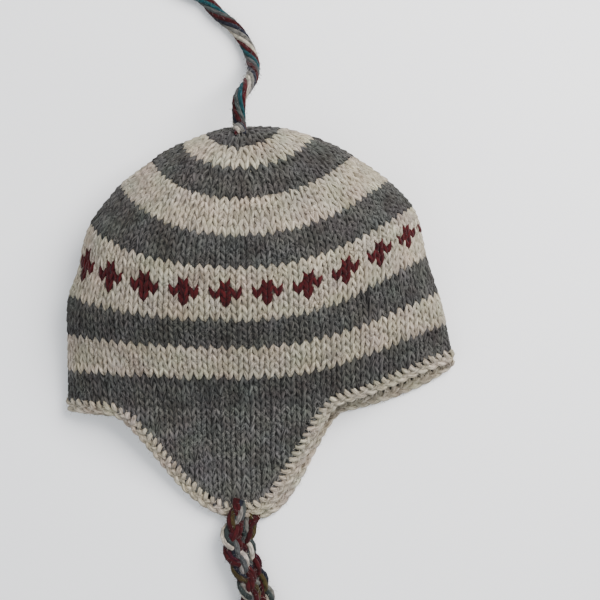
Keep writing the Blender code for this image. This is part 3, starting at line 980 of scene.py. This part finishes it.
def build_end(name, line, diameter, dyes, seed):
    """Build the knot and the tuft at a cord's end as one piece."""
    dice = np.random.default_rng(seed)
    forward = line[-1] - line[-2]
    forward[2] = 0.0
    forward = unit(forward)
    side = np.array([-forward[1], forward[0], 0.0])
    start = line[-1]
    knot = knot_line(start + forward * TUFT_LENGTH * KNOT_AT, forward, side, diameter * KNOT_SIZE)
    pieces = [lay_strands(
        name, knot, [Yarn(0.0, k / 3, dye) for k, dye in enumerate(dyes[:3])],
        {**STRAIGHT, "Ply Offset": 0.0014, "Ply Pitch": 0.017, "Yarn Radius": 0.0016}, seed=seed)]
    for k in range(TUFT_YARNS):
        angle = 2 * math.pi * k / TUFT_YARNS + dice.uniform(-TUFT_SCATTER, TUFT_SCATTER)
        ring = diameter / 2 * (INNER_RING if k % 2 else OUTER_RING)
        yarn, thickness = tuft_yarn(start, forward, side, angle, ring, dice)
        pieces.append(lay_strands(
            f"{name}_{k}", yarn, [Yarn(0.0, 0.0, dyes[k % len(dyes)])],
            {**STRAIGHT, "Yarn Radius": 0.0013, "Sides": 6}, thickness=thickness, seed=seed + k))
    return join_pieces(name, pieces)


def join_pieces(name, pieces):
    """Join plain mesh objects into the first one."""
    with bpy.context.temp_override(active_object=pieces[0], selected_editable_objects=pieces):
        bpy.ops.object.join()
    pieces[0].name = name
    return pieces[0]


# %% Cord at the crown
ROOT_LINES = [5, 2]
ROOT_LIFTS = [(0.0010, 0.0, -0.0005), (0.0004, 0.0, 0.0030)]
TOP_DYES = ["maroon", "navy", "grey", "cream", "maroon", "blue", "slate"]
TOP_TURN = 0.086
TOP_GATHER, TOP_OPENING = 0.8, 0.06

crown_start = (CROWN_TIP[0], CROWN_TIP[1] + 2.5 * CLEARANCE)
top_root = guide_grid[ROOT_LINES, RIGHT_COLUMNS] - (*crown_start, 0.0) + ROOT_LIFTS
top_line = smooth_route([tuple(point) for point in top_root] + TOP_CORD_ROUTE, crown_start)
top_yarns = [Yarn(k / len(TOP_DYES) + TOP_TURN, 0.0, dye) for k, dye in enumerate(TOP_DYES)]
top_cord = lay_strands(
    "twisted_cord", top_line, top_yarns,
    {"Half Width": 0.0031, "Half Height": 0.0031, "Pitch": 0.050, "Lead": 0.75, "Yarn Radius": 0.00165},
    spread=np.clip(TOP_GATHER + travel_of(top_line) / TOP_OPENING, 0.0, 1.0), seed=31)
top_end = build_end("twisted_cord_end", top_line, TOP_CORD_DIAMETER, TOP_DYES, 32)
finish_cord(top_cord, top_end, "top_cord")

# %% [markdown]
# ## Braided ties
# Each flap's tip carries a flat braid of three strands, and each strand is four yarns. In a braid a strand
# swings once from edge to edge while it passes twice over and under, so it is the same tree with two waves
# of height to one of width. The strand's own yarns wind about it.

# %% Braids
BRAID_WIDTH = 0.0156
BRAID_PITCH = 0.037
BRAID_YARN, BRAID_PLY = 0.0019, 0.0020
BRAID_GATHER, BRAID_OPENING = 0.55, 0.05
BRAID_STRANDS = [
    ("maroon", "maroon", "wine", "maroon"), ("grey", "slate", "cream", "teal"),
    ("olive", "navy", "slate", "maroon"),
]
BRAID_SIZES = {
    "Half Width": BRAID_WIDTH / 2 - BRAID_PLY - BRAID_YARN, "Half Height": 0.0015, "Pitch": BRAID_PITCH,
    "Waves": 2.0, "Lead": 0.5, "Ply Offset": BRAID_PLY, "Ply Pitch": 0.045, "Yarn Radius": BRAID_YARN,
}
TUFT_DYES = ["maroon", "cream", "olive", "slate", "navy", "teal"]
TIE_ROOT = 0.0130


def build_tie(name, node, layer, route, side, seed, shift):
    """Braid one tie from the tip of its flap."""
    hem = below_brim(flap_middle(layer), FLAP_DROP, layer)
    start = (hem[0] + side, hem[1] - EDGING_WIDTH - 3 * CLEARANCE)
    height = route[0][2]
    root = [(0.0030, TIE_ROOT, height - 0.0012), (0.0018, TIE_ROOT / 2, height - 0.0002)]
    line = smooth_route(root + route, start)
    yarns = [Yarn(k / 3 + shift, j / 4, dye)
             for k, strand in enumerate(BRAID_STRANDS) for j, dye in enumerate(strand)]
    spread = np.clip(BRAID_GATHER + travel_of(line) / BRAID_OPENING, 0.0, 1.0)
    piece = lay_strands(name, line, yarns, BRAID_SIZES, spread=spread, seed=seed)
    end = build_end(name + "_end", line, TIE_DIAMETER, TUFT_DYES, seed + 1)
    finish_cord(piece, end, node)
    return piece


ties = [
    build_tie("braid_upper", "tie_upper", "top", UPPER_TIE_ROUTE, UPPER_TIE_SIDE, 41, 0.25),
    build_tie("braid_lower", "tie_lower", "base", LOWER_TIE_ROUTE, LOWER_TIE_SIDE, 51, 0.55),
]

# %% [markdown]
# ## Crocheted edging
# The rim is worked round with a hook in cream wool: short stitches bite over the knit's edge, and a chain
# closes them along the outside. The chain looks like a row of slanting links, which is a flat braid on the
# way round the rim. The stitches under it are copies of one small loop, laid at an even step.

# %% Path of the rim
RIM_POINTS = 420
RIM_RIGHT, RIM_LEFT = 68, 60
RIM_STEP = 0.002


def rim_point(brim_point, higher, layer):
    """Return the rim's point under a point of the brim, and the direction away from the knit there."""
    drop = float(flap_drop(brim_point[0], layer))
    down = brim_point - higher
    if drop <= CLEARANCE:
        return brim_point, down
    hem = below_brim(brim_point[0], drop, layer)
    down_flap = hem - below_brim(brim_point[0], max(drop - RIM_STEP, 0.0), layer)
    weight = min(drop / FLAP_LEAST_DROP, 1.0)
    return hem, unit(down) * (1 - weight) + unit(down_flap) * weight


def rim_path():
    """Return points, directions away from the knit and outward normals round the whole rim."""
    brim = ring_at(1.0, RIM_RIGHT, RIM_LEFT)
    above = ring_at(JUST_ABOVE_BRIM, RIM_RIGHT, RIM_LEFT)
    closed, downs = [], []
    for index, (point, higher) in enumerate(zip(brim[:-1], above[:-1])):
        point, down = rim_point(point, higher, "top" if index < RIM_RIGHT + RIM_LEFT else "base")
        closed.append(point)
        downs.append(down)
    closed, downs = np.array(closed + closed[:1]), np.array(downs + downs[:1])
    shares = np.linspace(0.0, 1.0, RIM_POINTS + 1)
    path = resample(closed, shares)
    length = travel_of(closed)
    down = read_at(shares * length[-1], length, downs)
    along = np.gradient(path, axis=0)
    along[0] = along[-1] = along[0] + along[-1]
    along = unit(along)
    away = unit(down - along * np.sum(down * along, axis=1)[:, None])
    return path, away, np.cross(along, away)


rim, rim_away, rim_up = rim_path()
print("rim, m:", round(float(travel_of(rim)[-1]), 3))

# %% Crocheted chain
CHAIN_LINK = 0.0115
CHAIN_OUT = CLEARANCE + EDGING_WIDTH * 0.58
EDGING_MIDDLE = EDGING_DEPTH * 0.48

chain_line = rim + rim_away * CHAIN_OUT - rim_up * EDGING_MIDDLE
chain_length = travel_of(chain_line)[-1]
chain_pitch = chain_length / round(chain_length / CHAIN_LINK / 2)
chain = lay_strands(
    "crochet_chain", chain_line, [Yarn(k / 3, 0.0, "cream") for k in range(3)],
    {"Half Width": 0.0022, "Half Height": 0.0011, "Pitch": chain_pitch, "Waves": 2.0, "Lead": 0.5,
     "Yarn Radius": 0.0018, "Sides": 6},
    side=rim_away, up=rim_up, wool=CREAM_WOOL, seed=61)
rest_on_hat(chain, "crochet_edging")

# %% [markdown]
# The stitches that bite over the knit's edge are short rings of yarn, one every five millimetres, each a
# little askew. A tree copies a ring to points along the rim and turns each copy so that it stands across
# the edge. Where the hat rests on the floor, the same tree presses the rings flat.

# %% Hem stitches
HEM_STEP = 0.0054
HEM_OUT = 0.0006


def hem_stitch_tree():
    """Build the tree that sets rings of yarn round the knit's edge."""
    bench, given = geometry_tree("hem stitches", {
        "Wool": "Material", "Reach": 0.0021, "Half Depth": 0.0024, "Lean": 0.55, "Yarn Radius": 0.0018,
        "Ring Points": 9, "Sides": 5, "Smallest": 0.78, "Largest": 1.16, "Seed": 5,
    })
    x, y, _ = bench.split(bench.here())
    reach = x * given["Reach"]
    shape = bench.xyz(reach, reach * given["Lean"], y * given["Half Depth"])
    ring = bench.move(bench.ring(given["Ring Points"]), shape)
    ring = bench.store(ring, "travel", bench.node("GeometryNodeSplineParameter").other("Length"))
    axes = {0: bench.named("up", VECTOR), 1: bench.named("away", VECTOR)}
    turned = bench.node("FunctionNodeAxesToRotation", axes, primary_axis="Z", secondary_axis="X")
    size = bench.dice(given["Smallest"], given["Largest"], given["Seed"])
    rings = bench.copies(given["Lines"], ring, turned, size)
    rings = bench.move(rings, bench.here(), lowest=given["Yarn Radius"])
    return bench.end(bench.tube(rings, given["Sides"], given["Yarn Radius"]), given["Wool"])


hem_count = round(float(travel_of(rim)[-1]) / HEM_STEP)
hem_shares = np.arange(hem_count) / hem_count
hem_places = resample(rim + rim_away * HEM_OUT - rim_up * EDGING_MIDDLE, hem_shares)
rim_shares = np.linspace(0, 1, len(rim))
hem_lines = line_mesh("hem_lines", [hem_places], {
    "away": read_at(hem_shares, rim_shares, rim_away), "up": read_at(hem_shares, rim_shares, rim_up),
    "shade": np.random.default_rng(71).random(hem_count)})
hem = run_tree("hem_stitches", hem_lines, hem_stitch_tree(), {"Wool": CREAM_WOOL})
rest_on_hat(hem, "crochet_edging")

# %% [markdown]
# ## Felt between the stitches, dark with painted shade
# Thick wool that has been worn felts: fine fibres fill the holes between the yarns, so no light comes
# through. A thin sheet in the middle of the wall does the same. Its dark colour is painted shade: it follows
# the guide, takes a much darker colour of the stripe that it lies in, and shows only in the gaps, as depth.

# %% Felt sheets
FELT_DEPTH = 0.0023
FELT_THICKNESS = 0.0006
FELT_LIFT = 0.0004
FELT_HOLD = 0.8


def felt_painted_shade_material(name):
    """Make the felt's finish: painted shade, much darker than the yarns, with a fine grain."""
    bench = MaterialBench(name)
    grain = bench.noise(bench.where(), 900.0, 3.0)
    # Painted shade: the grey, the cream and the darker grain mixed in below are all far darker than the
    # yarns, so the gaps read as deep.
    colour = bench.blend(bench.carried("stripe"), (0.016, 0.015, 0.014), (0.20, 0.165, 0.125))
    colour = bench.blend(grain * 0.5, colour, (0.03, 0.027, 0.024))
    return bench.finish({"Base Color": colour, "Normal": bench.bump(grain, 0.8, 0.0005), "Roughness": 0.95})


FELT_PAINTED_SHADE = felt_painted_shade_material("felted fibres")


def is_cream(row):
    """Return 1.0 where a row belongs to a cream stripe."""
    return float(any(s.first <= row < s.last and s.wool in (CREAM_WOOL, BAND_WOOL) for s in STRIPES))


def felt_sheet(name, replaced, keep):
    """Lay felt, dark with painted shade, in the middle of the wall over the guide's cells for which keep is
    true.
    """
    rows, columns = guide_grid.shape[:2]
    points = guide_grid - guide_outward * FELT_DEPTH
    points[:, :, 2] = np.maximum(points[:, :, 2], FELT_THICKNESS + FELT_LIFT)
    index = np.arange(rows * columns).reshape(rows, columns).tolist()
    faces = [
        (index[r][c], index[r + 1][c], index[r + 1][c + 1], index[r][c + 1])
        for r in range(rows - 1) for c in range(columns - 1) if keep(r, c)
    ]
    used = sorted({i for face in faces for i in face})
    renumbered = {old: new for new, old in enumerate(used)}
    faces = [[renumbered[i] for i in face] for face in faces]
    mesh = bpy.data.meshes.new(name)
    mesh.from_pydata(points.reshape(-1, 3)[used].tolist(), [], faces)
    carry(mesh, "stripe", [is_cream(i // columns / LINES_PER_ROW) for i in used])
    mesh.materials.append(FELT_PAINTED_SHADE)
    mesh.shade_smooth()
    sheet = add_object(name, mesh)
    thick = sheet.modifiers.new("thickness", "SOLIDIFY")
    thick.thickness, thick.offset = FELT_THICKNESS, -1.0
    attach(sheet, "root")
    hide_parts(replaced)
    return sheet


def flap_cell(layer):
    """Return a test for the guide's cells that lie on one flap."""
    flap_from = BODY_ROWS * LINES_PER_ROW
    brim = guide_grid[flap_from]
    half = RIGHT_COLUMNS + LEFT_COLUMNS

    def keep(line, column):
        on_layer = column < half if layer == "top" else column >= half
        drop = ((line + FELT_HOLD) / LINES_PER_ROW - BODY_ROWS) * FLAP_ROW
        x = (brim[column, 0] + brim[column + 1, 0]) / 2
        return on_layer and line >= flap_from and flap_drop(x, layer) > drop
    return keep


# The sheets' dark colour is painted shade in the gaps between the stitches.
felts = [
    felt_sheet("felt_crown", "crown", lambda line, column: 0 < line < BODY_ROWS * LINES_PER_ROW),
    felt_sheet("felt_flap_upper", "ear_flap_upper", flap_cell("top")),
    felt_sheet("felt_flap_lower", "ear_flap_lower", flap_cell("base")),
]

# %% [markdown]
# ## Loose fibres
# A halo of short fibres makes wool look warm. They lie along the surface with their tips lifted, and at the
# hat's outline they catch the light. A particle system could grow them, but the tree keeps them as plain
# mesh: it scatters points on a surface, sets a short bent hair on each and turns it at random.

# %% Loose fibre tree
HAIR_BEND = [(0.0, 0.0, -0.4), (0.55, 0.22, 0.35), (0.85, -0.10, 1.0)]
HAIR_SHORTEST, HAIR_LONGEST = 0.45, 1.1
HAIR_LOWEST = 0.0002


def fibre_tree():
    """Build the tree that scatters loose fibres over a surface."""
    bench, given = geometry_tree("loose fibres", {
        "Wool": "Material", "Density": 110000.0, "Length": 0.0044, "Rise": 0.0028, "Start": 0.0028,
        "Fibre Radius": 0.00009, "Seed": 1,
    })
    scatter = bench.node("GeometryNodeDistributePointsOnFaces", {
        "Mesh": given["Lines"], "Density": given["Density"], "Seed": given["Seed"]})
    low, middle, high = (
        bench.xyz(given["Length"] * along, given["Length"] * aside, given["Start"] + given["Rise"] * rise)
        for along, aside, rise in HAIR_BEND
    )
    hair = bench.node("GeometryNodeCurveQuadraticBezier", {
        "Resolution": 2, "Start": low, "Middle": middle, "End": high})

    spin = bench.dice(0.0, 2 * math.pi, given["Seed"])
    size = bench.dice(HAIR_SHORTEST, HAIR_LONGEST, given["Seed"] + 7)
    spin = bench.node("FunctionNodeEulerToRotation", {0: bench.xyz(0.0, 0.0, spin)})
    turns = {0: scatter.other("Rotation"), 1: spin}
    turned = bench.node("FunctionNodeRotateRotation", turns, rotation_space="LOCAL")
    hairs = bench.copies(scatter, hair, turned, bench.xyz(size, size, 1.0))
    hairs = bench.move(hairs, bench.here(), lowest=HAIR_LOWEST)
    mesh = bench.node("GeometryNodeCurveToMesh", {
        "Curve": hairs, "Profile Curve": bench.ring(3), "Scale": given["Fibre Radius"]})
    return bench.end(mesh, given["Wool"])


FIBRES = fibre_tree()


# %% Loose fibre finishes
def fibre_material(name, colour_of, speck, speck_share):
    """Make loose fibres' finish: the colour that colour_of builds, broken by specks of another."""
    bench = MaterialBench(name)
    speckle = bench.ramp(bench.noise(bench.where(), 420.0, 1.0), 0.42, 0.60)
    colour = bench.blend(speckle * speck_share, colour_of(bench), speck)
    return bench.finish({"Base Color": colour, "Roughness": 0.7, "Sheen Weight": 0.2})


def stripe_colour(bench):
    """Read grey or cream from the felt's stripes."""
    return bench.blend(bench.carried("stripe"), (0.26, 0.25, 0.23), (0.56, 0.50, 0.40))


def own_dye(bench):
    """Read the colour that the yarns carry."""
    return bench.carried("dye", "Color")


DARK_SPECK, GREY_SPECK = (0.06, 0.052, 0.045), (0.14, 0.13, 0.12)
KNIT_FIBRES = fibre_material("loose fibres", stripe_colour, DARK_SPECK, 0.75)
EDGING_FIBRES = fibre_material("loose cream fibres", lambda bench: (0.62, 0.55, 0.44), DARK_SPECK, 0.75)
DYED_FIBRES = fibre_material("loose dyed fibres", own_dye, GREY_SPECK, 0.35)


# %% Growing the fibres
SHORT = {"Length": 0.0030, "Rise": 0.0013, "Start": 0.0004}


def grow_fibres(name, source, finish, seed, **sizes):
    """Scatter loose fibres over a copy of a piece's mesh."""
    fibres = run_tree(name, source.data.copy(), FIBRES, {"Wool": finish, "Seed": seed, **sizes})
    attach(fibres, "root")


for seed, felt in enumerate(felts, 81):
    grow_fibres(felt.name.replace("felt", "fibres"), felt, KNIT_FIBRES, seed)
for seed, (piece, finish, density) in enumerate([
        (hem, EDGING_FIBRES, 60000.0), (chain, EDGING_FIBRES, 60000.0), (top_cord, DYED_FIBRES, 90000.0),
        (ties[0], DYED_FIBRES, 70000.0), (ties[1], DYED_FIBRES, 70000.0)], 91):
    grow_fibres("fibres_" + piece.name, piece, finish, seed, Density=density, **SHORT)

# %% [markdown]
# ## Floor and light
# The hat lies on a plain pale surface. A broad lamp up on the right gives the soft shading of the
# photograph, a weaker one on the left opens the shadows, and a pale surround fills the rest.

# %% Floor
FLOOR_HALF = 4.0


def floor_material():
    """Make the pale surface: matt paper with the faintest mottling."""
    bench = MaterialBench("pale surface")
    mottle = bench.noise(bench.where(), 9.0, 4.0)
    colour = bench.blend(mottle, (0.86, 0.87, 0.885), (0.90, 0.90, 0.90))
    return bench.finish({"Base Color": colour, "Roughness": 0.85})


floor_corners = [(x * FLOOR_HALF, y * FLOOR_HALF, 0.0) for x, y in ((-1, -1), (1, -1), (1, 1), (-1, 1))]
floor_mesh = bpy.data.meshes.new("floor")
floor_mesh.from_pydata(floor_corners, [], [(0, 1, 2, 3)])
floor_mesh.materials.append(floor_material())
floor = add_object("floor", floor_mesh)

# %% Light
Lamp = namedtuple("Lamp", "name place size power colour")
LAMPS = [
    Lamp("key_lamp", (0.60, 0.54, 0.92), 0.8, 31.0, (1.0, 0.975, 0.965)),
    Lamp("fill_lamp", (-0.9, -0.5, 1.1), 1.4, 6.0, (0.90, 0.955, 1.0)),
]
for lamp in LAMPS:
    light = bpy.data.lights.new(lamp.name, "AREA")
    light.size, light.energy, light.color = lamp.size, lamp.power, lamp.colour
    holder = add_object(lamp.name, light)
    holder.location = lamp.place
    holder.rotation_mode = "QUATERNION"
    holder.rotation_quaternion = (-holder.location).to_track_quat("-Z", "Y")
print("lamps:", [lamp.name for lamp in LAMPS])

world = bpy.data.worlds.new("surround")
bpy.context.scene.world = world
world.use_nodes = True
surround = world.node_tree.nodes["Background"]
surround.inputs["Color"].default_value = (0.93, 0.96, 1.0, 1.0)
surround.inputs["Strength"].default_value = 0.9

# %% [markdown]
# ## Finish
# The guide was only a helper, so it goes. The wool may stand only a little proud of the plain model.

# %% Finish
bpy.data.objects.remove(guide)
